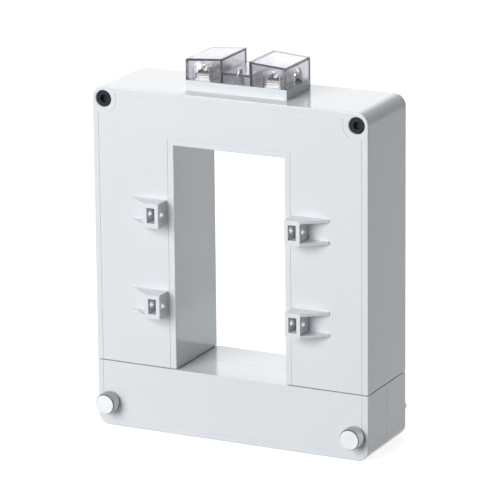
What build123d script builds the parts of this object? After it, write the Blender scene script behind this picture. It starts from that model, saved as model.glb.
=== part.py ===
from build123d import *
import os

os.makedirs("parts", exist_ok=True)

# A split-core current transformer with a rectangular busbar window.
# Millimetres. X runs across the front, Y from the front face to the back, Z up.
# The origin is the centre of the face that the lower bar stands on.

# Housing
window_width = 80.0
window_height = 153.0
leg_width = 59.0
bar_height = 45.0  # lower bar, up to the parting line
top_height = 35.0  # above the window
body_depth = 60.0
parting_gap = 0.7  # the dark line between the lower bar and the upper body
wall = 4.0
face_wall = 3.5  # front and back walls
corner_radius = 8.0
edge_round = 0.6
seam_chamfer = 0.3
back_cover_thickness = 4.0
lip_height = 3.0
lip_thickness = 1.6
lip_gap = 0.2
foot_lip_clear = 8.0  # the lip ends this far above the leg's end wall

# Shallow groove that frames the front faces
border = 4.0
groove_width = 0.5
groove_depth = 0.25

# Fits
slide_gap = 0.3  # between pieces that come apart
thread_gap = 0.05  # a shank in its own thread, each side

# Core and windings; the core fills the room that the coils and walls leave
lead_room = 3.5  # between the core and the top wall
core_underside_gap = 3.5  # between the core and the window's top wall
coil_window_gap = 3.0
coil_plate_gap = 2.2
coil_cover_gap = 1.1
winding_thickness = 4.5
bobbin_wall = 1.5
bobbin_fit = 0.4
flange_overhang = 0.5
pole_gap = 0.1
yoke_overhang = 3.0
yoke_bar_height = 21.0
pad_thickness = 4.5
pad_width = 30.0
rib_thickness = 2.5
rib_pitch = 10.0

# Locking plates and the thumb screws that hold them
thumb_inset = 9.4  # axis from the side face
thumb_height = 17.0
plate_width = 10.2
plate_thickness = 4.0
plate_reach = 6.0  # below the thumb screw's axis
plate_grip = 38.0  # above the leg's end wall
plate_lead_in = 0.8  # chamfer at the plate's foot
guide_rib = 2.6
guide_gap = 0.1
guide_top_gap = 2.0
pin_radius = 2.5
pin_drop = 12.0
thumb_shank_radius = 2.45
thumb_boss_radius = 9.0
thumb_head_radius = 7.25
thumb_head_height = 8.6
thumb_head_chamfer = 1.0
knurl_count = 36
knurl_depth = 0.35
thumb_washer_radius = 6.2
thumb_washer_thickness = 1.0
back_washer_radius = 6.0
back_washer_thickness = 1.4
back_nut_flats = 10.0
back_nut_height = 9.4
screw_end = 0.6

# Corner screws
corner_inset = 8.0
corner_drop = 8.5
corner_boss_radius = 9.3
corner_bore_radius = 5.6
corner_head_radius = 5.2
corner_head_height = 6.0
corner_sink = 0.8
corner_shank_radius = 2.45
corner_hole_radius = 2.75
corner_rim = 0.5
socket_flats = 5.0
socket_depth = 3.0
spigot_radius = 6.2
spigot_height = 5.0
corner_nut_flats = 8.0
corner_nut_height = 4.0
nut_fit = 0.1

# Nut brackets on the front face
bracket_inset = 5.5  # from the window's edge
bracket_width = 11.0
bracket_height = 16.4
bracket_reach = 12.5
bracket_pitch = 62.0
bracket_round = 0.25
gusset_length = 15.3
gusset_thickness = 1.8
gusset_tip = 0.8
nut_slot_width = 5.75
nut_slot_height = 10.3
nut_slot_depth = 10.5
clamp_hole_radius = 2.6

# Terminal block
base_width = 72.6
base_depth = 36.2
base_height = 6.8
base_wall = 2.2
cover_wall = 1.8
cover_inner_height = 16.4  # box height beside the deck
cover_outer_height = 14.4  # box height at the outer side
deck_height = 7.4
deck_width = 19.4
cover_round = 1.4
arch_width = 12.0
arch_height = 11.6
side_arch_width = 10.0
side_arch_height = 11.0
terminal_inset = 11.0  # terminal axis from the side of the base
seat_height = 1.2
seat_margin = 0.8
strip_width = 11.0
strip_end_gap = 1.3  # to the cover's walls
strip_thickness = 3.6
front_screw_inset = 6.5  # from the strip's front end
back_screw_inset = 8.5
terminal_shank_radius = 1.95
terminal_shank_length = 8.0
terminal_head_radius = 3.8
terminal_head_height = 2.8
terminal_head_round = 0.9
drive_width = 1.0
drive_depth = 1.3
clamp_plate_size = 9.6
clamp_plate_thickness = 1.2
shank_well_radius = 2.5
post_radius = 3.2
post_gap = 0.2
seal_inset = 5.6  # seal screw from the front or back of the block
seal_shank_radius = 1.45
seal_shank_length = 9.0
seal_hole_radius = 1.7
seal_head_radius = 2.0
seal_head_height = 2.4
seal_slot_depth = 0.7
seal_wire_radius = 0.45
seal_wire_height = 1.0  # above the deck
lead_radius = 0.8
lead_hole_radius = 1.1
lead_bend = 2.4

# Sizes and places that follow
body_width = window_width + 2 * leg_width
body_height = bar_height + window_height + top_height
front_y = -body_depth / 2
back_y = body_depth / 2
cover_seam_y = back_y - back_cover_thickness
leg_foot = bar_height + parting_gap
leg_floor = leg_foot + wall
window_top = bar_height + window_height
window_mid = (bar_height + window_top) / 2
corner_x = body_width / 2 - corner_inset
corner_z = body_height - corner_drop
thumb_x = body_width / 2 - thumb_inset
coil_side = winding_thickness + bobbin_wall + bobbin_fit
core_inner = window_width / 2 + wall + coil_window_gap + coil_side
core_outer = thumb_x - plate_width / 2 - coil_plate_gap - flange_overhang - coil_side
core_leg_width = core_outer - core_inner
core_leg_x = (core_inner + core_outer) / 2
core_depth = 2 * (cover_seam_y - coil_cover_gap - flange_overhang - coil_side)
core_top = body_height - wall - lead_room
core_under = window_top + wall + core_underside_gap
pole_z = bar_height - wall - slide_gap
bobbin_height = core_under - leg_floor
lead_y = core_depth / 2 + bobbin_fit + bobbin_wall + lead_hole_radius
plate_foot = thumb_height - plate_reach
plate_top = leg_floor + plate_grip - guide_top_gap
pin_z = leg_floor + plate_grip - pin_drop
guide_outer_y = plate_thickness / 2 + guide_gap + guide_rib
head_seat_y = front_y - thumb_washer_thickness
nut_seat_y = back_y + back_washer_thickness
screw_tip_y = nut_seat_y + back_nut_height + screw_end
corner_head_y = front_y + corner_sink
bracket_x = window_width / 2 + bracket_inset + bracket_width / 2
bracket_places = [
    (side * bracket_x, window_mid + step * bracket_pitch / 2) for side in (-1, 1) for step in (-1, 1)
]
clamp_axis_y = front_y - bracket_reach + nut_slot_depth / 2
base_top = body_height + base_height
terminal_x = base_width / 2 - terminal_inset
strip_length = base_depth - 2 * (cover_wall + strip_end_gap)
terminal_screw_y = (front_screw_inset - strip_length / 2, strip_length / 2 - back_screw_inset)
strip_bottom = base_top + seat_height
strip_top = strip_bottom + strip_thickness
clamp_top = strip_top + clamp_plate_thickness
deck_top = base_top + deck_height
deck_under = deck_top - cover_wall
seal_y = base_depth / 2 - seal_inset
rib_top = pole_z - pole_gap - yoke_bar_height - pad_thickness
sides = ((-1, "left"), (1, "right"))
ends = ((-1, "front"), (1, "back"))

front_plane = Plane.XZ.offset(-front_y)


def facing_front(x, y, z):
    """A plane at a point, its normal towards the viewer."""
    return Plane(origin=(x, y, z), x_dir=(1, 0, 0), z_dir=(0, -1, 0))


def facing_back(x, y, z):
    """A plane at a point, its normal away from the viewer."""
    return Plane(origin=(x, y, z), x_dir=(-1, 0, 0), z_dir=(0, 1, 0))


def facing_up(x, y, z):
    """A level plane at a point."""
    return Plane(origin=(x, y, z), x_dir=(1, 0, 0), z_dir=(0, 0, 1))


def upper_outline(sketch, inset, foot, rounding):
    """The upper body's outline, moved inwards and ending at a foot height."""
    top = body_height - inset
    with Locations((0, (top + foot) / 2)):
        Rectangle(body_width - 2 * inset, top - foot)
    arch_top = window_top + inset
    with Locations((0, (arch_top + foot) / 2)):
        Rectangle(window_width + 2 * inset, arch_top - foot, mode=Mode.SUBTRACT)
    fillet(sketch.vertices().group_by(Axis.Y)[-1], rounding)


def lower_outline(sketch, inset, top, rounding):
    """The lower bar's outline, moved inwards and ending at a top height."""
    with Locations((0, (top + inset) / 2)):
        Rectangle(body_width - 2 * inset, top - inset)
    fillet(sketch.vertices().group_by(Axis.Y)[0], rounding)


def save(builder, name):
    builder.part.label = name
    export_step(builder.part, f"parts/{name}.step")


# Nut bracket: a box with a slot for a square nut, and two gussets that run outwards
with BuildPart() as nut_bracket:
    with BuildSketch(Plane.XZ):
        Rectangle(bracket_width, bracket_height)
    extrude(amount=bracket_reach)
    inner_face = nut_bracket.faces().sort_by(Axis.X)[0]
    fillet(inner_face.edges().filter_by(lambda edge: edge.center().Y < 0), bracket_round)
    for flank in (-1, 1):
        gusset_z = flank * (bracket_height - gusset_thickness) / 2
        with BuildSketch(Plane.XY.offset(gusset_z - gusset_thickness / 2)):
            with BuildLine():
                Polyline(
                    (bracket_width / 2, 0),
                    (bracket_width / 2, -bracket_reach),
                    (bracket_width / 2 + gusset_length, -gusset_tip),
                    (bracket_width / 2 + gusset_length, 0),
                    close=True,
                )
            make_face()
        extrude(amount=gusset_thickness)
    with BuildSketch(Plane.XZ.offset(bracket_reach)):
        Rectangle(nut_slot_width, nut_slot_height)
    extrude(amount=-nut_slot_depth, mode=Mode.SUBTRACT)
    with BuildSketch(Plane.YZ.offset(-bracket_width / 2)):
        with Locations((clamp_axis_y - front_y, 0)):
            Circle(clamp_hole_radius)
    extrude(amount=bracket_width, mode=Mode.SUBTRACT)

# Upper case: one deep moulding, open at the back, with the nut brackets on its front
with BuildPart() as upper_case:
    with BuildSketch(front_plane) as outline:
        upper_outline(outline, 0, leg_foot, corner_radius)
    extrude(amount=-(cover_seam_y - front_y))
    front_edges = upper_case.faces().sort_by(Axis.Y)[0].edges()
    fillet(front_edges.filter_by(lambda edge: edge.center().Z > leg_foot + edge_round), edge_round)

    # Cavity, with a solid column round each corner screw
    with BuildSketch(front_plane.offset(-face_wall)) as cavity:
        upper_outline(cavity, wall, leg_floor, corner_radius - wall)
        with Locations((-corner_x, corner_z), (corner_x, corner_z)):
            Circle(corner_boss_radius, mode=Mode.SUBTRACT)
    extrude(amount=-(cover_seam_y - front_y - face_wall), mode=Mode.SUBTRACT)

    # Guides that hold the locking plates, inside the outer walls
    for side, _ in sides:
        guide_length = body_width / 2 - wall - (thumb_x - plate_width / 2)
        guide_centre = body_width / 2 - wall - guide_length / 2
        for face in (-1, 1):
            guide_y = face * (guide_outer_y - guide_rib / 2)
            with BuildSketch(Plane.XY.offset(leg_foot)):
                with Locations((side * (guide_centre + wall / 2), guide_y)):
                    Rectangle(guide_length + wall, guide_rib)
            extrude(amount=wall + plate_grip - guide_top_gap)

    # Openings in the leg ends for the poles and the locking plates
    with BuildSketch(Plane.XY.offset(leg_foot)):
        with Locations((-core_leg_x, 0), (core_leg_x, 0)):
            Rectangle(core_leg_width + 2 * slide_gap, core_depth + 2 * slide_gap)
        with Locations((-thumb_x, 0), (thumb_x, 0)):
            Rectangle(plate_width + 2 * slide_gap, plate_thickness + 2 * guide_gap)
    extrude(amount=wall, mode=Mode.SUBTRACT)
    with Locations(*[facing_front(side * thumb_x, -guide_outer_y, pin_z) for side, _ in sides]):
        Hole(pin_radius, depth=2 * guide_outer_y)

    # Corner screw bores, with a socket at the back for the cover's spigot
    with Locations(*[facing_front(side * corner_x, front_y, corner_z) for side, _ in sides]):
        CounterBoreHole(corner_hole_radius, corner_bore_radius, corner_head_height + corner_sink, body_depth)
    with Locations(*[facing_back(side * corner_x, cover_seam_y, corner_z) for side, _ in sides]):
        Hole(spigot_radius + lip_gap, depth=spigot_height + lip_gap)
    bore_rims = upper_case.edges().filter_by(GeomType.CIRCLE).filter_by(
        lambda edge: abs(edge.radius - corner_bore_radius) < 0.01 and abs(edge.center().Y - front_y) < 0.01
    )
    chamfer(bore_rims, corner_rim)

    # Nut brackets beside the window
    for place_x, place_z in bracket_places:
        with Locations((place_x, front_y, place_z)):
            add(nut_bracket.part if place_x > 0 else nut_bracket.part.mirror(Plane.YZ))

    # Border groove, passing inside the corner bores
    with BuildSketch(front_plane) as frame_line:
        upper_outline(frame_line, border, leg_foot - border, corner_radius - border)
        with Locations((-corner_x, corner_z), (corner_x, corner_z)):
            Circle(corner_boss_radius, mode=Mode.SUBTRACT)
        offset(amount=-groove_width, kind=Kind.INTERSECTION, mode=Mode.SUBTRACT)
    extrude(amount=-groove_depth, mode=Mode.SUBTRACT)

    # Holes for the leads under the terminal block
    with Locations(*[facing_up(side * terminal_x, 0, body_height) for side, _ in sides]):
        Hole(lead_hole_radius, depth=wall)
save(upper_case, "upper_case")

# Upper back cover: a plate with a locating lip and two spigots for the corner screws
with BuildPart() as upper_back_cover:
    with BuildSketch(Plane.XZ.offset(-cover_seam_y)) as outline:
        upper_outline(outline, 0, leg_foot, corner_radius)
    extrude(amount=-back_cover_thickness)
    back_edges = upper_back_cover.faces().sort_by(Axis.Y)[-1].edges()
    fillet(back_edges.filter_by(lambda edge: edge.center().Z > leg_foot + edge_round), edge_round)
    lip_inset = wall + lip_gap
    with BuildSketch(Plane.XZ.offset(-cover_seam_y)) as lip:
        upper_outline(lip, lip_inset, leg_floor + foot_lip_clear, corner_radius - lip_inset)
        with BuildSketch(mode=Mode.PRIVATE) as lip_core:
            upper_outline(lip_core, lip_inset + lip_thickness, leg_floor, corner_radius - lip_inset - lip_thickness)
        add(lip_core.sketch, mode=Mode.SUBTRACT)
        with Locations((-corner_x, corner_z), (corner_x, corner_z)):
            Circle(corner_boss_radius + lip_gap, mode=Mode.SUBTRACT)
    extrude(amount=lip_height)
    with BuildSketch(Plane.XZ.offset(-cover_seam_y)):
        with Locations((-corner_x, corner_z), (corner_x, corner_z)):
            Circle(spigot_radius)
    extrude(amount=spigot_height)
    with BuildSketch(Plane.XZ.offset(-back_y)):
        with Locations((-corner_x, corner_z), (corner_x, corner_z)):
            RegularPolygon(corner_nut_flats / 2 + nut_fit, 6, major_radius=False)
    extrude(amount=corner_nut_height + nut_fit, mode=Mode.SUBTRACT)
    with Locations(*[facing_back(side * corner_x, back_y, corner_z) for side, _ in sides]):
        Hole(corner_hole_radius, depth=body_depth)
save(upper_back_cover, "upper_back_cover")


def rib_outline(face):
    """A rib across half the lower bar, shaped round the yoke core and its pad."""
    inner_face = body_depth / 2 - face_wall
    core_side = core_depth / 2 + bobbin_fit
    return [
        (0, wall),
        (0, rib_top),
        (face * core_side, rib_top),
        (face * core_side, bar_height - wall),
        (face * inner_face, bar_height - wall),
        (face * inner_face, wall),
    ]


def lower_shell(face):
    """One half of the lower bar, from its face to the parting plane at mid-depth."""
    half_depth = body_depth / 2
    with BuildPart() as shell:
        with BuildSketch(Plane.XZ.offset(-face * half_depth)) as outline:
            lower_outline(outline, 0, bar_height, corner_radius)
        extrude(amount=face * half_depth)
        outer_face = shell.faces().sort_by(Axis.Y)[0 if face < 0 else -1]
        lower_edges = outer_face.edges().filter_by(lambda edge: edge.center().Z < bar_height - edge_round)
        fillet(lower_edges, edge_round)
        parting_edges = shell.faces().sort_by(Axis.Y)[-1 if face < 0 else 0].edges()
        chamfer(parting_edges.filter_by(lambda edge: edge.center().Z > edge_round), seam_chamfer)

        with BuildSketch(Plane.XZ.offset(-face * (half_depth - face_wall))) as cavity:
            lower_outline(cavity, wall, bar_height - wall, corner_radius - wall)
            with Locations((-thumb_x, thumb_height), (thumb_x, thumb_height)):
                Circle(thumb_boss_radius, mode=Mode.SUBTRACT)
        extrude(amount=face * (half_depth - face_wall), mode=Mode.SUBTRACT)
        for side, _ in sides:
            for step in (-1, 0, 1):
                rib_x = side * core_leg_x + step * rib_pitch
                with BuildSketch(Plane.YZ.offset(rib_x - rib_thickness / 2)):
                    with BuildLine():
                        Polyline(*rib_outline(face), close=True)
                    make_face()
                extrude(amount=rib_thickness)

        # Openings for the poles and the locking plates
        with BuildSketch(Plane.XY.offset(bar_height)):
            with Locations((-core_leg_x, 0), (core_leg_x, 0)):
                Rectangle(core_leg_width + 2 * slide_gap, core_depth + 2 * slide_gap)
        extrude(amount=-wall, mode=Mode.SUBTRACT)
        with BuildSketch(Plane.XY.offset(bar_height)):
            with Locations((-thumb_x, 0), (thumb_x, 0)):
                Rectangle(plate_width + 2 * slide_gap, plate_thickness + 2 * slide_gap)
        extrude(amount=-(bar_height - thumb_height + plate_reach + slide_gap), mode=Mode.SUBTRACT)
        with Locations(*[facing_front(side * thumb_x, front_y, thumb_height) for side, _ in sides]):
            Hole(thumb_shank_radius + slide_gap, depth=body_depth)

        if face < 0:
            with BuildSketch(front_plane) as frame_line:
                lower_outline(frame_line, border, bar_height + border, corner_radius - border)
                offset(amount=-groove_width, kind=Kind.INTERSECTION, mode=Mode.SUBTRACT)
            extrude(amount=-groove_depth, mode=Mode.SUBTRACT)
    return shell


for face, end in ends:
    save(lower_shell(face), f"lower_{end}_shell")

# Laminated core: a U in the upper body and a straight yoke in the lower bar
with BuildPart() as core_u:
    with BuildSketch(Plane.XZ):
        with Locations((0, (pole_z + core_top) / 2)):
            Rectangle(2 * core_outer, core_top - pole_z)
        with Locations((0, (pole_z + core_under) / 2)):
            Rectangle(2 * core_inner, core_under - pole_z, mode=Mode.SUBTRACT)
    extrude(amount=core_depth / 2, both=True)
save(core_u, "core_u")

with BuildPart() as core_yoke:
    with BuildSketch(Plane.XZ):
        with Locations((0, pole_z - pole_gap - yoke_bar_height / 2)):
            Rectangle(2 * (core_outer + yoke_overhang), yoke_bar_height)
    extrude(amount=core_depth / 2, both=True)
save(core_yoke, "core_yoke")

# Bobbins and windings on the legs, leads up to the terminals, and the pads under the yoke
for side, hand in sides:
    tube_width = core_leg_width + 2 * (bobbin_fit + bobbin_wall)
    tube_depth = core_depth + 2 * (bobbin_fit + bobbin_wall)
    overhang = 2 * (winding_thickness + flange_overhang)
    with BuildPart() as bobbin:
        with BuildSketch(facing_up(side * core_leg_x, 0, leg_floor)):
            Rectangle(tube_width, tube_depth)
        extrude(amount=bobbin_height)
        for flange_z in (leg_floor, core_under - bobbin_wall):
            with BuildSketch(facing_up(side * core_leg_x, 0, flange_z)):
                Rectangle(tube_width + overhang, tube_depth + overhang)
            extrude(amount=bobbin_wall)
        with BuildSketch(facing_up(side * core_leg_x, 0, leg_floor)):
            Rectangle(core_leg_width + 2 * bobbin_fit, core_depth + 2 * bobbin_fit)
        extrude(amount=bobbin_height, mode=Mode.SUBTRACT)
        notch_depth = winding_thickness + flange_overhang
        with BuildSketch(facing_up(side * core_leg_x, tube_depth / 2 + notch_depth / 2, core_under)):
            Rectangle(2 * lead_hole_radius, notch_depth)
        extrude(amount=-bobbin_wall, mode=Mode.SUBTRACT)
    save(bobbin, f"bobbin_{hand}")

    with BuildPart() as winding:
        with BuildSketch(facing_up(side * core_leg_x, 0, leg_floor + bobbin_wall)):
            RectangleRounded(
                tube_width + 2 * winding_thickness, tube_depth + 2 * winding_thickness, winding_thickness
            )
            Rectangle(tube_width, tube_depth, mode=Mode.SUBTRACT)
        extrude(amount=bobbin_height - 2 * bobbin_wall)
    save(winding, f"winding_{hand}")

    with BuildPart() as lead:
        lead_start_z = core_under - bobbin_wall
        over_core_z = core_top + lead_room / 2
        with BuildLine() as route:
            FilletPolyline(
                (side * core_leg_x, lead_y, lead_start_z),
                (side * core_leg_x, lead_y, core_under + lead_bend),
                (side * terminal_x, lead_y, core_top - lead_bend),
                (side * terminal_x, lead_y, over_core_z),
                (side * terminal_x, 0, over_core_z),
                (side * terminal_x, 0, strip_bottom),
                radius=lead_bend / 2,
            )
        with BuildSketch(facing_up(side * core_leg_x, lead_y, lead_start_z)):
            Circle(lead_radius)
        sweep()
    save(lead, f"lead_{hand}")

    with BuildPart() as yoke_pad:
        with BuildSketch(facing_up(side * core_leg_x, 0, rib_top)):
            Rectangle(pad_width, core_depth)
        extrude(amount=pad_thickness)
    save(yoke_pad, f"yoke_pad_{hand}")

# Locking plates: steel tongues whose open slots straddle the thumb screws
for side, hand in sides:
    with BuildPart() as locking_plate:
        slot_radius = thumb_shank_radius + slide_gap
        with BuildSketch(Plane.XZ) as plate_face:
            with Locations((side * thumb_x, (plate_foot + plate_top) / 2)):
                Rectangle(plate_width, plate_top - plate_foot)
            chamfer(plate_face.vertices().group_by(Axis.Y)[0], plate_lead_in)
            with Locations((side * thumb_x, thumb_height)):
                Circle(slot_radius, mode=Mode.SUBTRACT)
            with Locations((side * thumb_x, thumb_height - plate_reach / 2)):
                Rectangle(2 * slot_radius, plate_reach, mode=Mode.SUBTRACT)
            with Locations((side * thumb_x, pin_z)):
                Circle(pin_radius, mode=Mode.SUBTRACT)
        extrude(amount=plate_thickness / 2, both=True)
    save(locking_plate, f"locking_plate_{hand}")

    with BuildPart() as plate_pin:
        with BuildSketch(Plane.XZ):
            with Locations((side * thumb_x, pin_z)):
                Circle(pin_radius)
        extrude(amount=guide_outer_y, both=True)
    save(plate_pin, f"plate_pin_{hand}")

# Thumb screws with knurled heads, their washers and the long nuts behind
for side, hand in sides:
    with BuildPart() as thumb_screw:
        with BuildSketch(facing_front(side * thumb_x, head_seat_y, thumb_height)):
            Circle(thumb_head_radius)
        extrude(amount=thumb_head_height)
        chamfer(thumb_screw.edges().group_by(Axis.Y)[0], thumb_head_chamfer)
        chamfer(thumb_screw.edges().group_by(Axis.Y)[-1], knurl_depth)
        with BuildSketch(facing_front(side * thumb_x, head_seat_y, thumb_height)):
            with PolarLocations(thumb_head_radius, knurl_count):
                Rectangle(2 * knurl_depth, 2 * knurl_depth, rotation=45)
        extrude(amount=thumb_head_height, mode=Mode.SUBTRACT)
        with BuildSketch(facing_back(side * thumb_x, head_seat_y, thumb_height)):
            Circle(thumb_shank_radius)
        extrude(amount=screw_tip_y - head_seat_y)
        chamfer(thumb_screw.edges().group_by(Axis.Y)[-1], screw_end)
    save(thumb_screw, f"thumb_screw_{hand}")

    with BuildPart() as screw_washer:
        with BuildSketch(facing_front(side * thumb_x, front_y, thumb_height)):
            Circle(thumb_washer_radius)
            Circle(thumb_shank_radius + slide_gap, mode=Mode.SUBTRACT)
        extrude(amount=thumb_washer_thickness)
    save(screw_washer, f"screw_washer_{hand}")

    with BuildPart() as back_washer:
        with BuildSketch(facing_back(side * thumb_x, back_y, thumb_height)):
            Circle(back_washer_radius)
            Circle(thumb_shank_radius + slide_gap, mode=Mode.SUBTRACT)
        extrude(amount=back_washer_thickness)
    save(back_washer, f"back_washer_{hand}")

    with BuildPart() as back_nut:
        with BuildSketch(facing_back(side * thumb_x, nut_seat_y, thumb_height)):
            RegularPolygon(back_nut_flats / 2, 6, major_radius=False)
            Circle(thumb_shank_radius + thread_gap, mode=Mode.SUBTRACT)
        extrude(amount=back_nut_height)
    save(back_nut, f"back_nut_{hand}")

# Corner screws, from the front through the case into nuts in the back cover
for side, hand in sides:
    with BuildPart() as corner_screw:
        with BuildSketch(facing_back(side * corner_x, corner_head_y, corner_z)):
            Circle(corner_head_radius)
        extrude(amount=corner_head_height)
        chamfer(corner_screw.edges().group_by(Axis.Y)[0], corner_rim)
        with BuildSketch(facing_back(side * corner_x, corner_head_y, corner_z)):
            RegularPolygon(socket_flats / 2, 6, major_radius=False)
        extrude(amount=socket_depth, mode=Mode.SUBTRACT)
        with BuildSketch(facing_back(side * corner_x, corner_head_y + corner_head_height, corner_z)):
            Circle(corner_shank_radius)
        extrude(amount=back_y - screw_end - corner_head_y - corner_head_height)
    save(corner_screw, f"corner_screw_{hand}")

    with BuildPart() as corner_nut:
        with BuildSketch(Plane.XZ.offset(-(back_y - nut_fit))):
            with Locations((side * corner_x, corner_z)):
                RegularPolygon(corner_nut_flats / 2, 6, major_radius=False)
                Circle(corner_shank_radius + thread_gap, mode=Mode.SUBTRACT)
        extrude(amount=corner_nut_height)
    save(corner_nut, f"corner_nut_{hand}")

# Terminal base: hollow moulding on the top face, with seats for the strips and two posts
with BuildPart() as terminal_base:
    with BuildSketch(facing_up(0, 0, body_height)):
        Rectangle(base_width, base_depth)
    extrude(amount=base_height)
    with BuildSketch(facing_up(0, 0, body_height)):
        Rectangle(base_width - 2 * base_wall, base_depth - 2 * base_wall)
    extrude(amount=base_height - base_wall, mode=Mode.SUBTRACT)
    with BuildSketch(facing_up(0, 0, base_top)):
        with Locations((-terminal_x, 0), (terminal_x, 0)):
            Rectangle(strip_width + 2 * seat_margin, strip_length + 2 * seat_margin)
    extrude(amount=seat_height)
    with BuildSketch(facing_up(0, 0, body_height)):
        with Locations((0, -seal_y), (0, seal_y)):
            Circle(post_radius)
    extrude(amount=deck_under - post_gap - body_height)
    with Locations((0, -seal_y, deck_under), (0, seal_y, deck_under)):
        Hole(seal_shank_radius + thread_gap, depth=seal_shank_length)
    for side, _ in sides:
        with Locations((side * terminal_x, 0, strip_bottom)):
            Hole(lead_hole_radius, depth=base_height)
        with Locations(*[(side * terminal_x, y, strip_bottom) for y in terminal_screw_y]):
            Hole(shank_well_radius, depth=base_wall + seat_height)
save(terminal_base, "terminal_base")

# Terminals: a strip with two screws, each over its own clamp plate
for side, hand in sides:
    with BuildPart() as terminal_strip:
        with BuildSketch(facing_up(side * terminal_x, 0, strip_bottom)):
            Rectangle(strip_width, strip_length)
        extrude(amount=strip_thickness)
        chamfer(terminal_strip.faces().sort_by(Axis.Z)[-1].edges(), seam_chamfer)
        with Locations(*[(side * terminal_x, y, strip_top) for y in terminal_screw_y]):
            Hole(terminal_shank_radius + thread_gap, depth=strip_thickness)
    save(terminal_strip, f"terminal_strip_{hand}")

    for screw_y, (_, end) in zip(terminal_screw_y, ends):
        with BuildPart() as clamp_plate:
            with BuildSketch(facing_up(side * terminal_x, screw_y, strip_top)):
                RectangleRounded(clamp_plate_size, clamp_plate_size, clamp_plate_thickness)
                Circle(terminal_shank_radius + slide_gap, mode=Mode.SUBTRACT)
            extrude(amount=clamp_plate_thickness)
        save(clamp_plate, f"clamp_plate_{hand}_{end}")

        with BuildPart() as terminal_screw:
            with BuildSketch(facing_up(side * terminal_x, screw_y, clamp_top)):
                Circle(terminal_head_radius)
            extrude(amount=terminal_head_height)
            fillet(terminal_screw.edges().group_by(Axis.Z)[-1], terminal_head_round)
            with BuildSketch(facing_up(side * terminal_x, screw_y, clamp_top + terminal_head_height)):
                Rectangle(drive_width, 2 * terminal_head_radius)
                Rectangle(terminal_head_radius, drive_width)
            extrude(amount=-drive_depth, mode=Mode.SUBTRACT)
            with BuildSketch(facing_up(side * terminal_x, screw_y, clamp_top)):
                Circle(terminal_shank_radius)
            extrude(amount=-terminal_shank_length)
        save(terminal_screw, f"terminal_screw_{hand}_{end}")

# Terminal cover: one clear moulding, two boxes joined by a lower deck
with BuildPart() as terminal_cover:
    half_base = base_width / 2
    half_deck = deck_width / 2
    with BuildSketch(Plane.XZ.offset(base_depth / 2)) as silhouette:
        with BuildLine():
            Polyline(
                (-half_base, base_top),
                (-half_base, base_top + cover_outer_height),
                (-half_deck, base_top + cover_inner_height),
                (-half_deck, deck_top),
                (half_deck, deck_top),
                (half_deck, base_top + cover_inner_height),
                (half_base, base_top + cover_outer_height),
                (half_base, base_top),
                close=True,
            )
        make_face()
    extrude(amount=-base_depth)
    top_corners = terminal_cover.edges().filter_by(Axis.Y).filter_by(
        lambda edge: abs(edge.center().Z - base_top - cover_outer_height) < 0.01
    )
    fillet(top_corners, cover_round)
    with BuildSketch(Plane.XZ.offset(base_depth / 2 - cover_wall)):
        for side, _ in sides:
            with BuildLine():
                Polyline(
                    (side * (half_base - cover_wall), base_top),
                    (side * (half_base - cover_wall), base_top + cover_outer_height - cover_wall),
                    (side * (half_deck + cover_wall), base_top + cover_inner_height - cover_wall),
                    (side * (half_deck + cover_wall), base_top),
                    close=True,
                )
            make_face()
        with Locations((0, (base_top + deck_under) / 2)):
            Rectangle(deck_width, deck_under - base_top)
    extrude(amount=-(base_depth - 2 * cover_wall), mode=Mode.SUBTRACT)

    # Arched wire entries, at the front of each box and in each side wall
    with BuildSketch(Plane.XZ.offset(base_depth / 2)):
        for side, _ in sides:
            straight = arch_height - arch_width / 2
            with Locations((side * terminal_x, base_top + straight / 2)):
                Rectangle(arch_width, straight)
            with Locations((side * terminal_x, base_top + straight)):
                Circle(arch_width / 2)
    extrude(amount=-cover_wall, mode=Mode.SUBTRACT)
    for side, _ in sides:
        with BuildSketch(Plane.YZ.offset(side * (half_base - cover_wall / 2))):
            straight = side_arch_height - side_arch_width / 2
            with Locations((0, base_top + straight / 2)):
                Rectangle(side_arch_width, straight)
            with Locations((0, base_top + straight)):
                Circle(side_arch_width / 2)
        extrude(amount=cover_wall / 2, both=True, mode=Mode.SUBTRACT)
    with Locations((0, -seal_y, deck_top), (0, seal_y, deck_top)):
        Hole(seal_hole_radius, depth=cover_wall)
save(terminal_cover, "terminal_cover")

# Seal screws in the cover's deck
for end_side, end in ends:
    with BuildPart() as seal_screw:
        with BuildSketch(facing_up(0, end_side * seal_y, deck_top)):
            Circle(seal_head_radius)
        extrude(amount=seal_head_height)
        chamfer(seal_screw.edges().group_by(Axis.Z)[-1], seam_chamfer)
        with BuildSketch(facing_up(0, end_side * seal_y, deck_top + seal_head_height)):
            Rectangle(2 * seal_head_radius, drive_width)
        extrude(amount=-seal_slot_depth, mode=Mode.SUBTRACT)
        with BuildSketch(Plane.YZ.offset(-seal_head_radius)):
            with Locations((end_side * seal_y, deck_top + seal_wire_height)):
                Circle(seal_wire_radius)
        extrude(amount=2 * seal_head_radius, mode=Mode.SUBTRACT)
        with BuildSketch(facing_up(0, end_side * seal_y, deck_top)):
            Circle(seal_shank_radius)
        extrude(amount=-seal_shank_length)
    save(seal_screw, f"seal_screw_{end}")
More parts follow.
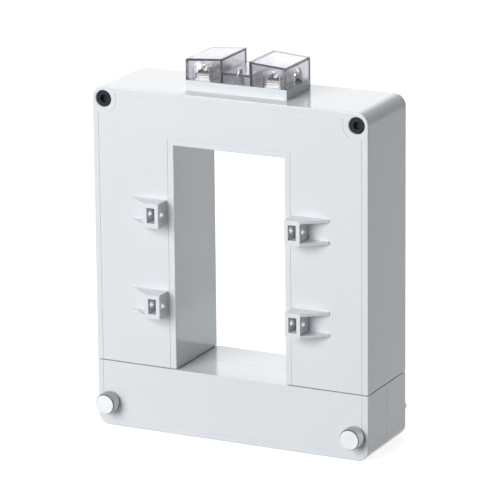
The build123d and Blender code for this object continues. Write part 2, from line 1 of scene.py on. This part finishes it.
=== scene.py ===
import math
import bmesh
import bpy
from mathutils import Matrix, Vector


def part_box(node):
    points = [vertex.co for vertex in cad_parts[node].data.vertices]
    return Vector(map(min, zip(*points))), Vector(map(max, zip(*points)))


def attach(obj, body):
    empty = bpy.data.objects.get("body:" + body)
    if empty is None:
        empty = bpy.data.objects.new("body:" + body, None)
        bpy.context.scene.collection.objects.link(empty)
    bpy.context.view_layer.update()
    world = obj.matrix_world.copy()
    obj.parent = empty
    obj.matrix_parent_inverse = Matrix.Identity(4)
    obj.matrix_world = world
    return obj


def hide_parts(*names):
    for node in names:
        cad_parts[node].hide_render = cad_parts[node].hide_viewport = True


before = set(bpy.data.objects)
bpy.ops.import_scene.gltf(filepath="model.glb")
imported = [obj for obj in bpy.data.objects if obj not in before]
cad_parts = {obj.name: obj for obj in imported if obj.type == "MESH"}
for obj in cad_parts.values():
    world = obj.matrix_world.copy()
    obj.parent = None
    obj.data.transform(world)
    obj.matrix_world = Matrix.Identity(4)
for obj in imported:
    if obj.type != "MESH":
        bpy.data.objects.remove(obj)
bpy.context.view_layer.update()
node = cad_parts
scene = bpy.context.scene


# Camera. It stands in front of the transformer, to its right and a little above it, behind a long lens.
# The place, turn and lens come from the edges of the body, which has known sizes.
camera_place = (1.07482, -2.18748, 0.81714)
camera_turn = (74.1315, 0.5237, 26.0139)  # degrees
film_width = 36.0  # millimetres
lens_length = 277.16  # millimetres
view_depth = 50.0

camera = bpy.data.objects.new("camera", bpy.data.cameras.new("camera"))
camera.data.sensor_width = film_width
camera.data.lens = lens_length
camera.data.clip_end = view_depth
camera.location = camera_place
camera.rotation_euler = [math.radians(angle) for angle in camera_turn]
scene.collection.objects.link(camera)
scene.camera = camera
scene.view_settings.view_transform = "Standard"


# Floor. A wide sheet of matt white board on which the transformer stands. The camera, reflections
# and the clear cover see it white, with the transformer's soft shadow, and it throws little light back.
board_half = 9.0
board_drop = 0.0002  # below the transformer's foot
board_white = (1, 1, 1, 1)
board_glow = 0.88
board_shaded = (0.30, 0.30, 0.30, 1)
board_bounce = (0.40, 0.40, 0.40, 1)

board_mesh = bpy.data.meshes.new("floor")
bm = bmesh.new()
bmesh.ops.create_grid(bm, x_segments=1, y_segments=1, size=board_half)
bm.to_mesh(board_mesh)
bm.free()
floor = bpy.data.objects.new("floor", board_mesh)
floor.location = (0, 0, -board_drop)
scene.collection.objects.link(floor)

board = bpy.data.materials.new("matt_board")
board.use_nodes = True
tree = board.node_tree
tree.nodes.clear()
output = tree.nodes.new("ShaderNodeOutputMaterial")
glow = tree.nodes.new("ShaderNodeEmission")
glow.inputs["Color"].default_value = board_white
glow.inputs["Strength"].default_value = board_glow
shaded = tree.nodes.new("ShaderNodeBsdfDiffuse")
shaded.inputs["Color"].default_value = board_shaded
seen = tree.nodes.new("ShaderNodeAddShader")
thrown = tree.nodes.new("ShaderNodeBsdfDiffuse")
thrown.inputs["Color"].default_value = board_bounce
path = tree.nodes.new("ShaderNodeLightPath")
mix = tree.nodes.new("ShaderNodeMixShader")
tree.links.new(glow.outputs["Emission"], seen.inputs[0])
tree.links.new(shaded.outputs["BSDF"], seen.inputs[1])
tree.links.new(path.outputs["Is Diffuse Ray"], mix.inputs["Fac"])
tree.links.new(seen.outputs["Shader"], mix.inputs[1])
tree.links.new(thrown.outputs["BSDF"], mix.inputs[2])
tree.links.new(mix.outputs["Shader"], output.inputs["Surface"])
board_mesh.materials.append(board)


# Light. A pale studio all round, with a broad key lamp to the front left. Of two soft boxes behind, the
# low one shines along the top and the high one lights the floor of the window. Of two light tables on
# the ground behind, the right one gives the right side its sheen, the other lights inside the window.
studio_tint = (0.97, 0.985, 1.0, 1)
studio_fill = 0.135
studio_white = (1, 1, 1, 1)
studio_seen = 1.0
key_size = (2.5, 2.5)
key_place = (-1.20, -3.375, 1.47)
key_watts = 177.0
top_box_size = (1.9, 1.0)
top_box_place = (-0.95, 1.95, 0.85)
top_box_watts = 5.4
high_box_size = (0.6, 1.4)
high_box_place = (-0.30, 1.20, 1.90)
high_box_watts = 18.0
table_size = (0.50, 0.90)
table_place = (0.355, 0.42, -0.0001)
table_watts = 0.38
back_table_size = (0.14, 0.42)
back_table_place = (0.02, 0.26, -0.0001)
back_table_watts = 0.10
table_tint = (0.90, 0.965, 1.0)
plain_white = (1, 1, 1)
body_middle = (0, 0, 0.12)

world = bpy.data.worlds.new("studio")
scene.world = world
world.use_nodes = True
tree = world.node_tree
tree.nodes.clear()
output = tree.nodes.new("ShaderNodeOutputWorld")
fill = tree.nodes.new("ShaderNodeBackground")
fill.inputs["Color"].default_value = studio_tint
fill.inputs["Strength"].default_value = studio_fill
white = tree.nodes.new("ShaderNodeBackground")
white.inputs["Color"].default_value = studio_white
white.inputs["Strength"].default_value = studio_seen
path = tree.nodes.new("ShaderNodeLightPath")
mix = tree.nodes.new("ShaderNodeMixShader")
tree.links.new(path.outputs["Is Diffuse Ray"], mix.inputs["Fac"])
tree.links.new(white.outputs["Background"], mix.inputs[1])
tree.links.new(fill.outputs["Background"], mix.inputs[2])
tree.links.new(mix.outputs["Shader"], output.inputs["Surface"])


def soft_lamp(name, place, size, watts, aim=body_middle, tint=plain_white):
    """A rectangular soft box at a place, turned to a point."""
    lamp = bpy.data.objects.new(name, bpy.data.lights.new(name, "AREA"))
    lamp.data.shape = "RECTANGLE"
    lamp.data.size, lamp.data.size_y = size
    lamp.data.energy = watts
    lamp.data.color = tint
    lamp.location = place
    lamp.rotation_euler = (Vector(aim) - Vector(place)).to_track_quat("-Z", "Y").to_euler()
    lamp.visible_camera = False
    scene.collection.objects.link(lamp)


def light_table(name, place, size, watts):
    """A soft box that lies on the ground and shines straight up."""
    soft_lamp(name, place, size, watts, aim=(place[0], place[1], 1.0), tint=table_tint)


soft_lamp("key_lamp", key_place, key_size, key_watts)
soft_lamp("top_soft_box", top_box_place, top_box_size, top_box_watts)
soft_lamp("high_soft_box", high_box_place, high_box_size, high_box_watts)
light_table("light_table", table_place, table_size, table_watts)
light_table("back_light_table", back_table_place, back_table_size, back_table_watts)


# Housing. The upper case, its back cover, the two shells of the lower bar and the terminal base are
# injection moulded in light grey plastic with a satin gloss, faintly mottled where the melt cooled.
housing_grey = (0.60, 0.625, 0.65)
housing_ior = 1.5
housing_nodes = ["upper_case", "upper_back_cover", "lower_front_shell", "lower_back_shell",
                 "terminal_base"]
grain_detail = 3.0
mottle_detail = 4.0
noise_low, noise_high = 0.3, 0.7  # most of one noise lies between these
both_low, both_high = 0.7, 1.3  # and most of two noises added
grain_depth = 0.0002


def surface_group():
    """Fine grain and slow mottling of a made surface, as a tone, a polish and a height."""
    group = bpy.data.node_groups.new("made_surface", "ShaderNodeTree")
    for name in ("Grain Size", "Mottle Size"):
        group.interface.new_socket(name, in_out="INPUT", socket_type="NodeSocketFloat")
    for name in ("Tone", "Polish", "Height"):
        group.interface.new_socket(name, in_out="OUTPUT", socket_type="NodeSocketFloat")
    source = group.nodes.new("NodeGroupInput")
    result = group.nodes.new("NodeGroupOutput")
    place = group.nodes.new("ShaderNodeTexCoord")
    grain = group.nodes.new("ShaderNodeTexNoise")
    grain.inputs["Detail"].default_value = grain_detail
    mottle = group.nodes.new("ShaderNodeTexNoise")
    mottle.inputs["Detail"].default_value = mottle_detail
    for texture, size in ((grain, "Grain Size"), (mottle, "Mottle Size")):
        group.links.new(place.outputs["Object"], texture.inputs["Vector"])
        group.links.new(source.outputs[size], texture.inputs["Scale"])
    polish = group.nodes.new("ShaderNodeMath")
    polish.operation = "ADD"
    group.links.new(grain.outputs["Fac"], polish.inputs[0])
    group.links.new(mottle.outputs["Fac"], polish.inputs[1])
    group.links.new(mottle.outputs["Fac"], result.inputs["Tone"])
    group.links.new(polish.outputs["Value"], result.inputs["Polish"])
    group.links.new(grain.outputs["Fac"], result.inputs["Height"])
    return group


made_surface = surface_group()


def stretched(tree, value, start, end, low, high):
    """A value that ran from start to end and now runs from low to high."""
    step = tree.nodes.new("ShaderNodeMapRange")
    for name, number in (("From Min", start), ("From Max", end), ("To Min", low), ("To Max", high)):
        step.inputs[name].default_value = number
    tree.links.new(value, step.inputs["Value"])
    return step.outputs["Result"]


def shaded_by(tree, tone):
    """A node that darkens or lightens the colour in its first input by a tone."""
    step = tree.nodes.new("ShaderNodeVectorMath")
    step.operation = "SCALE"
    tree.links.new(tone, step.inputs["Scale"])
    return step


def raised_by(tree, height, strength, depth):
    """A node that raises the surface by a height."""
    step = tree.nodes.new("ShaderNodeBump")
    step.inputs["Strength"].default_value = strength
    step.inputs["Distance"].default_value = depth
    tree.links.new(height, step.inputs["Height"])
    return step


def finish(name, colour, roughness, metallic=0.0, tone_spread=0.04, polish_spread=0.08, bump=0.05,
           grain=4000.0, mottle=14.0):
    """A material whose colour, polish and height vary a little over the surface."""
    material = bpy.data.materials.new(name)
    material.use_nodes = True
    tree = material.node_tree
    tree.nodes.clear()
    output = tree.nodes.new("ShaderNodeOutputMaterial")
    shader = tree.nodes.new("ShaderNodeBsdfPrincipled")
    shader.inputs["Metallic"].default_value = metallic
    tree.links.new(shader.outputs["BSDF"], output.inputs["Surface"])
    surface = tree.nodes.new("ShaderNodeGroup")
    surface.node_tree = made_surface
    surface.inputs["Grain Size"].default_value = grain
    surface.inputs["Mottle Size"].default_value = mottle
    tone = stretched(tree, surface.outputs["Tone"], noise_low, noise_high,
                     1 - tone_spread, 1 + tone_spread)
    toned = shaded_by(tree, tone)
    toned.inputs[0].default_value = colour
    tree.links.new(toned.outputs["Vector"], shader.inputs["Base Color"])
    polish = stretched(tree, surface.outputs["Polish"], both_low, both_high,
                       roughness - polish_spread / 2, roughness + polish_spread / 2)
    tree.links.new(polish, shader.inputs["Roughness"])
    relief = raised_by(tree, surface.outputs["Height"], bump, grain_depth)
    tree.links.new(relief.outputs["Normal"], shader.inputs["Normal"])
    return material


def shader_of(material):
    """The shader of a finish, for settings of its own."""
    return material.node_tree.nodes["Principled BSDF"]


def dress(names, material):
    """Gives CAD nodes their finish."""
    for name in names:
        node[name].data.materials.clear()
        node[name].data.materials.append(material)


moulded_grey = finish("moulded_grey", housing_grey, roughness=0.14, tone_spread=0.01,
                      polish_spread=0.05, bump=0.006)
shader_of(moulded_grey).inputs["IOR"].default_value = housing_ior
dress(housing_nodes, moulded_grey)


# Core. The U in the upper body and the yoke in the lower bar are stacks of thin varnished steel
# sheets, laid one behind another from front to back, and their cut edges show as fine lines.
sheet_pitch = 0.0005
sheet_gap_share = 0.30
sheet_gap_depth = 0.00006
varnished_grey = (0.23, 0.24, 0.26)
gap_brown = (0.045, 0.035, 0.03)
varnish_weight = 0.35
varnish_roughness = 0.25
row_relief = 0.6


def row_group():
    """Rows laid side by side, as a gap mask, a tone for each row, and flat and round heights."""
    group = bpy.data.node_groups.new("laid_rows", "ShaderNodeTree")
    for name in ("Along", "Pitch", "Gap Share"):
        group.interface.new_socket(name, in_out="INPUT", socket_type="NodeSocketFloat")
    for name in ("Gap", "Row Tone", "Flat Height", "Round Height"):
        group.interface.new_socket(name, in_out="OUTPUT", socket_type="NodeSocketFloat")
    source = group.nodes.new("NodeGroupInput")
    result = group.nodes.new("NodeGroupOutput")

    def worked_out(operation, *values):
        step = group.nodes.new("ShaderNodeMath")
        step.operation = operation
        for index, value in enumerate(values):
            if isinstance(value, float):
                step.inputs[index].default_value = value
            else:
                group.links.new(value, step.inputs[index])
        return step.outputs["Value"]

    place = worked_out("DIVIDE", source.outputs["Along"], source.outputs["Pitch"])
    row = worked_out("FLOOR", place)
    across = worked_out("FRACT", place)
    from_middle = worked_out("ABSOLUTE", worked_out("MULTIPLY_ADD", across, 2.0, -1.0))
    gap_start = worked_out("SUBTRACT", 1.0, source.outputs["Gap Share"])
    gap = group.nodes.new("ShaderNodeMapRange")
    gap.interpolation_type = "SMOOTHSTEP"
    group.links.new(from_middle, gap.inputs["Value"])
    group.links.new(gap_start, gap.inputs["From Min"])
    tone = group.nodes.new("ShaderNodeTexWhiteNoise")
    tone.noise_dimensions = "1D"
    group.links.new(row, tone.inputs["W"])
    square = worked_out("MULTIPLY", from_middle, from_middle)
    crown = worked_out("SQRT", worked_out("MAXIMUM", worked_out("SUBTRACT", 1.0, square), 0.0))
    group.links.new(gap.outputs["Result"], result.inputs["Gap"])
    group.links.new(tone.outputs["Value"], result.inputs["Row Tone"])
    group.links.new(worked_out("SUBTRACT", 1.0, gap.outputs["Result"]), result.inputs["Flat Height"])
    group.links.new(crown, result.inputs["Round Height"])
    return group


laid_rows = row_group()


def lay_rows(material, axis, pitch, gap_share, gap_colour, height, depth, tone_spread=0.12):
    """Draws rows along one axis over a finish: darker gaps, a tone for each row, and relief."""
    tree = material.node_tree
    shader = shader_of(material)
    place = tree.nodes.new("ShaderNodeTexCoord")
    split = tree.nodes.new("ShaderNodeSeparateXYZ")
    rows = tree.nodes.new("ShaderNodeGroup")
    rows.node_tree = laid_rows
    rows.inputs["Pitch"].default_value = pitch
    rows.inputs["Gap Share"].default_value = gap_share
    tree.links.new(place.outputs["Object"], split.inputs["Vector"])
    tree.links.new(split.outputs[axis], rows.inputs["Along"])
    tone = stretched(tree, rows.outputs["Row Tone"], 0, 1, 1 - tone_spread, 1 + tone_spread)
    toned = shaded_by(tree, tone)
    tree.links.new(shader.inputs["Base Color"].links[0].from_socket, toned.inputs[0])
    blend = tree.nodes.new("ShaderNodeMix")
    blend.data_type = "RGBA"
    share, row_colour, between = blend.inputs[0], blend.inputs[6], blend.inputs[7]
    blended = blend.outputs[2]
    between.default_value = (*gap_colour, 1)
    tree.links.new(rows.outputs["Gap"], share)
    tree.links.new(toned.outputs["Vector"], row_colour)
    tree.links.new(blended, shader.inputs["Base Color"])
    relief = raised_by(tree, rows.outputs[height], row_relief, depth)
    tree.links.new(shader.inputs["Normal"].links[0].from_socket, relief.inputs["Normal"])
    tree.links.new(relief.outputs["Normal"], shader.inputs["Normal"])


sheet_steel = finish("sheet_steel", varnished_grey, roughness=0.38, metallic=0.75, tone_spread=0.10,
                     bump=0.03, grain=2500.0, mottle=60.0)
shader_of(sheet_steel).inputs["Coat Weight"].default_value = varnish_weight
shader_of(sheet_steel).inputs["Coat Roughness"].default_value = varnish_roughness
lay_rows(sheet_steel, "Y", sheet_pitch, sheet_gap_share, gap_brown, "Flat Height", sheet_gap_depth)
dress(["core_u", "core_yoke"], sheet_steel)


# Coils. Black moulded bobbins on the legs of the core, wound in layers with enamelled copper wire. A
# red sleeved lead from each coil goes up through the top wall to its terminal.
wire_pitch = 0.0009
wire_gap_share = 0.35
wire_depth = 0.0003
enamel_copper = (0.46, 0.15, 0.055)
wire_shadow = (0.09, 0.022, 0.01)
enamel_weight = 0.6
enamel_roughness = 0.15
bobbin_colour = (0.025, 0.025, 0.028)
sleeve_colour = (0.42, 0.018, 0.016)


def pair(piece):
    """The names of a piece's left and right nodes."""
    return [f"{piece}_{hand}" for hand in ("left", "right")]


bobbin_black = finish("bobbin_black", bobbin_colour, roughness=0.45, tone_spread=0.15, bump=0.08,
                      grain=5000.0)
dress(pair("bobbin"), bobbin_black)
copper_wire = finish("copper_wire", enamel_copper, roughness=0.28, metallic=0.85, tone_spread=0.10,
                     bump=0.02, grain=1800.0, mottle=90.0)
shader_of(copper_wire).inputs["Coat Weight"].default_value = enamel_weight
shader_of(copper_wire).inputs["Coat Roughness"].default_value = enamel_roughness
lay_rows(copper_wire, "Z", wire_pitch, wire_gap_share, wire_shadow, "Round Height", wire_depth,
         tone_spread=0.06)
dress(pair("winding"), copper_wire)
red_sleeve = finish("red_sleeve", sleeve_colour, roughness=0.42, tone_spread=0.08, grain=3000.0)
dress(pair("lead"), red_sleeve)


# Yoke pads. Two blocks of black rubber lie under the yoke in the lower bar, and press it up against
# the poles of the U. They are moulded, and their skin is dull and a little uneven.
pad_black = (0.018, 0.018, 0.018)

pad_rubber = finish("pad_rubber", pad_black, roughness=0.72, tone_spread=0.25, polish_spread=0.2,
                    bump=0.3, grain=3500.0, mottle=80.0)
dress(pair("yoke_pad"), pad_rubber)


# Locking plates. Stamped steel tongues, each pinned in its leg, that straddle the thumb screws. They
# and the nuts and washers behind are zinc plated, with the faint cloudy bloom that the bath leaves.
zinc_grey = (0.42, 0.43, 0.445)
zinc_pieces = ("locking_plate", "plate_pin", "back_washer", "back_nut", "corner_nut")

zinc_plate = finish("zinc_plate", zinc_grey, roughness=0.33, metallic=1.0, tone_spread=0.10,
                    polish_spread=0.16, bump=0.06, grain=2200.0, mottle=160.0)
for piece in zinc_pieces:
    dress(pair(piece), zinc_plate)


# Thumb screws. Turned steel, nickel plated: a bright flat end with a raised lip, a bevel painted near
# black as painted shade, and a rim with a diamond knurl, rougher and painted darker as shade. Each runs
# through to the nut behind the bar, and a black fibre washer lies under its head.
head_height = 0.0086
head_bevel = 0.00075
head_inset = 0.00002  # inside the solid's radius
lip_drop = 0.00015
lip_inner = 0.0056
lip_outer = 0.0064
knurl_columns = 72
knurl_rows = 12
knurl_valley = 0.00032
shank_radius = 0.00245
tip_bevel = 0.0006
merge_distance = 1e-6
smooth_limit = math.radians(30)
nickel_bright = (0.745, 0.765, 0.775)
# The rim and the bevel are the same nickel as the end, darkened in colour as painted shade.
rim_grey_painted_shade = (0.40, 0.415, 0.425)
shade_painted_bevel_grey = (0.12, 0.125, 0.13)
fibre_black = (0.02, 0.02, 0.02)

nickel = finish("nickel_plate", nickel_bright, roughness=0.20, metallic=1.0, tone_spread=0.03,
                bump=0.02, grain=1500.0, mottle=120.0)
# A rougher copy of the nickel for the knurled rim and a near-black one for the bevel, both darkened as
# painted shade.
rolled_rim_painted_shade = finish("rolled_rim_painted_shade", rim_grey_painted_shade, roughness=0.34, metallic=1.0, tone_spread=0.10,
                       bump=0.10, grain=2600.0, mottle=200.0)
bevel_nickel_painted_shade = finish("bevel_nickel_painted_shade", shade_painted_bevel_grey, roughness=0.30, metallic=1.0, tone_spread=0.06,
                      bump=0.02, grain=1500.0, mottle=120.0)
thumb_finishes = (nickel, rolled_rim_painted_shade, bevel_nickel_painted_shade)

for name in pair("thumb_screw"):
    low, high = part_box(name)
    end_centre = Vector(((low.x + high.x) / 2, low.y, (low.z + high.z) / 2))
    head_radius = (high.x - low.x) / 2 - head_inset
    length = high.y - low.y
    row_step = (head_height - knurl_valley - head_bevel) / knurl_rows
    column_step = 2 * math.pi / knurl_columns
    profile = [(0, lip_drop), (lip_inner, lip_drop), (lip_inner + lip_drop, 0), (lip_outer, 0)]
    profile += [(head_radius, head_bevel + row * row_step) for row in range(knurl_rows + 1)]
    profile += [(head_radius - knurl_valley, head_height), (shank_radius, head_height),
                (shank_radius, length - tip_bevel), (shank_radius - tip_bevel, length), (0, length)]
    bm = bmesh.new()
    turned = [bm.verts.new((radius, depth, 0)) for radius, depth in profile]
    for one, other in zip(turned, turned[1:]):
        bm.edges.new((one, other))
    bmesh.ops.spin(bm, geom=bm.verts[:] + bm.edges[:], axis=(0, 1, 0), cent=(0, 0, 0), dvec=(0, 0, 0),
                   angle=2 * math.pi, steps=knurl_columns, use_merge=True, use_duplicate=False)
    bmesh.ops.remove_doubles(bm, verts=bm.verts, dist=merge_distance)
    valleys = []
    for vert in bm.verts:
        if abs(math.hypot(vert.co.x, vert.co.z) - head_radius) > merge_distance:
            continue
        column = round(math.atan2(vert.co.z, vert.co.x) / column_step)
        row = round((vert.co.y - head_bevel) / row_step)
        if row in (0, knurl_rows) or (row + column) % 2:
            valleys.append(vert)
    bmesh.ops.connect_verts(bm, verts=valleys)
    for vert in valleys:
        vert.co.x *= 1 - knurl_valley / head_radius
        vert.co.z *= 1 - knurl_valley / head_radius
    bmesh.ops.recalc_face_normals(bm, faces=bm.faces)
    for face in bm.faces:
        centre = face.calc_center_median()
        on_rim = centre.y < head_height and math.hypot(centre.x, centre.z) > lip_outer
        on_bevel = on_rim and centre.y < head_bevel
        look = bevel_nickel_painted_shade if on_bevel else rolled_rim_painted_shade if on_rim else nickel
        face.material_index = thumb_finishes.index(look)
        face.smooth = not on_rim
    bmesh.ops.translate(bm, verts=bm.verts, vec=end_centre)
    thumb_mesh = bpy.data.meshes.new(f"knurled_{name}")
    bm.to_mesh(thumb_mesh)
    bm.free()
    thumb_mesh.set_sharp_from_angle(angle=smooth_limit)
    for material in thumb_finishes:
        thumb_mesh.materials.append(material)
    thumb_screw = bpy.data.objects.new(f"knurled_{name}", thumb_mesh)
    scene.collection.objects.link(thumb_screw)
    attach(thumb_screw, name)
    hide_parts(name)

black_fibre = finish("black_fibre", fibre_black, roughness=0.6, tone_spread=0.2, bump=0.2, mottle=300.0)
dress(pair("screw_washer"), black_fibre)


# Corner screws. Two socket screws of blackened steel, sunk in bores in the top corners of the case,
# run through to nuts behind and hold the back cover. The oxide is nearly matt, with a cold blue cast.
oxide_black = (0.018, 0.022, 0.027)
oxide_sheen = 0.12

black_oxide = finish("black_oxide", oxide_black, roughness=0.60, tone_spread=0.15, polish_spread=0.15,
                     bump=0.06, grain=2500.0, mottle=200.0)
shader_of(black_oxide).inputs["Specular IOR Level"].default_value = oxide_sheen
dress(pair("corner_screw"), black_oxide)


# Terminals. Under each box of the cover lie two nickel-plated brass leaves, one on the other, with two
# screws and blackened clamp plates that hold the wires. Two small sealing screws stand in the deck.
leaf_pitch = 0.0024
leaf_gap_share = 0.30
leaf_gap_depth = 0.0002
# The seams between the leaves are painted near black, as painted shade in the crevice between them.
leaf_seam_painted_shade = (0.03, 0.03, 0.03)
leaf_grey = (0.38, 0.375, 0.36)
clamp_colour = (0.055, 0.055, 0.06)
screw_grey = (0.50, 0.51, 0.52)

low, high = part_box("terminal_strip_left")
seam_height = (low.z + high.z) / 2
seam_pitch = seam_height / round(seam_height / leaf_pitch)  # puts one seam at that height
terminal_metal = finish("terminal_metal", leaf_grey, roughness=0.30, metallic=1.0, tone_spread=0.06,
                        polish_spread=0.14, grain=1800.0, mottle=150.0)
# Rows of leaves whose seams carry painted shade.
lay_rows(terminal_metal, "Z", seam_pitch, leaf_gap_share, leaf_seam_painted_shade, "Flat Height", leaf_gap_depth,
         tone_spread=0.03)
dress(pair("terminal_strip"), terminal_metal)
clamp_black = finish("clamp_black", clamp_colour, roughness=0.35, metallic=0.7, tone_spread=0.15,
                     polish_spread=0.12, bump=0.06, grain=2000.0, mottle=200.0)
dress([name for name in node if name.startswith("clamp_plate")], clamp_black)
screw_steel = finish("screw_steel", screw_grey, roughness=0.30, metallic=1.0, tone_spread=0.06,
                     polish_spread=0.12, grain=1800.0, mottle=150.0)
dress([name for name in node if name.startswith(("terminal_screw", "seal_screw"))], screw_steel)


# Terminal cover. One clear, slightly smoky polycarbonate moulding with two boxes, a lower deck and
# arched wire entries. Light that runs along inside a wall darkens, which draws a line round each face.
cover_edge = 0.0002
flat_limit = math.radians(0.5)
sharp_limit = math.radians(35)
cover_clear = (0.97, 0.97, 0.98)
cover_ior = 1.58
smoke_colour = (0.31, 0.27, 0.40, 1)
smoke_density = 130.0
lamplight_through = (0.50, 0.50, 0.53, 1)

cover_mesh = node["terminal_cover"].data.copy()
bm = bmesh.new()
bm.from_mesh(cover_mesh)
bmesh.ops.remove_doubles(bm, verts=bm.verts, dist=merge_distance)
bmesh.ops.dissolve_limit(bm, angle_limit=flat_limit, verts=bm.verts, edges=bm.edges)
sharp = [edge for edge in bm.edges if edge.is_manifold and edge.calc_face_angle() > sharp_limit]
bmesh.ops.bevel(bm, geom=sharp, offset=cover_edge, offset_type="OFFSET", affect="EDGES", segments=2,
                profile=0.5, material=-1, clamp_overlap=True)
for face in bm.faces:
    face.smooth = False
bm.to_mesh(cover_mesh)
bm.free()
cover = bpy.data.objects.new("clear_terminal_cover", cover_mesh)
scene.collection.objects.link(cover)

smoky_clear = finish("smoky_clear", cover_clear, roughness=0.21, tone_spread=0.01, polish_spread=0.02,
                     bump=0.004)
shader = shader_of(smoky_clear)
shader.inputs["Transmission Weight"].default_value = 1.0
shader.inputs["IOR"].default_value = cover_ior
tree = smoky_clear.node_tree
output = tree.nodes["Material Output"]
smoke = tree.nodes.new("ShaderNodeVolumeAbsorption")
smoke.inputs["Color"].default_value = smoke_colour
smoke.inputs["Density"].default_value = smoke_density
tree.links.new(smoke.outputs["Volume"], output.inputs["Volume"])
let_through = tree.nodes.new("ShaderNodeBsdfTransparent")
let_through.inputs["Color"].default_value = lamplight_through
path = tree.nodes.new("ShaderNodeLightPath")
lamp_or_bounce = tree.nodes.new("ShaderNodeMath")
lamp_or_bounce.operation = "MAXIMUM"
mix = tree.nodes.new("ShaderNodeMixShader")
tree.links.new(path.outputs["Is Shadow Ray"], lamp_or_bounce.inputs[0])
tree.links.new(path.outputs["Is Diffuse Ray"], lamp_or_bounce.inputs[1])
tree.links.new(lamp_or_bounce.outputs["Value"], mix.inputs["Fac"])
tree.links.new(shader.outputs["BSDF"], mix.inputs[1])
tree.links.new(let_through.outputs["BSDF"], mix.inputs[2])
tree.links.new(mix.outputs["Shader"], output.inputs["Surface"])
cover_mesh.materials.clear()
cover_mesh.materials.append(smoky_clear)
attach(cover, "terminal_cover")
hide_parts("terminal_cover")
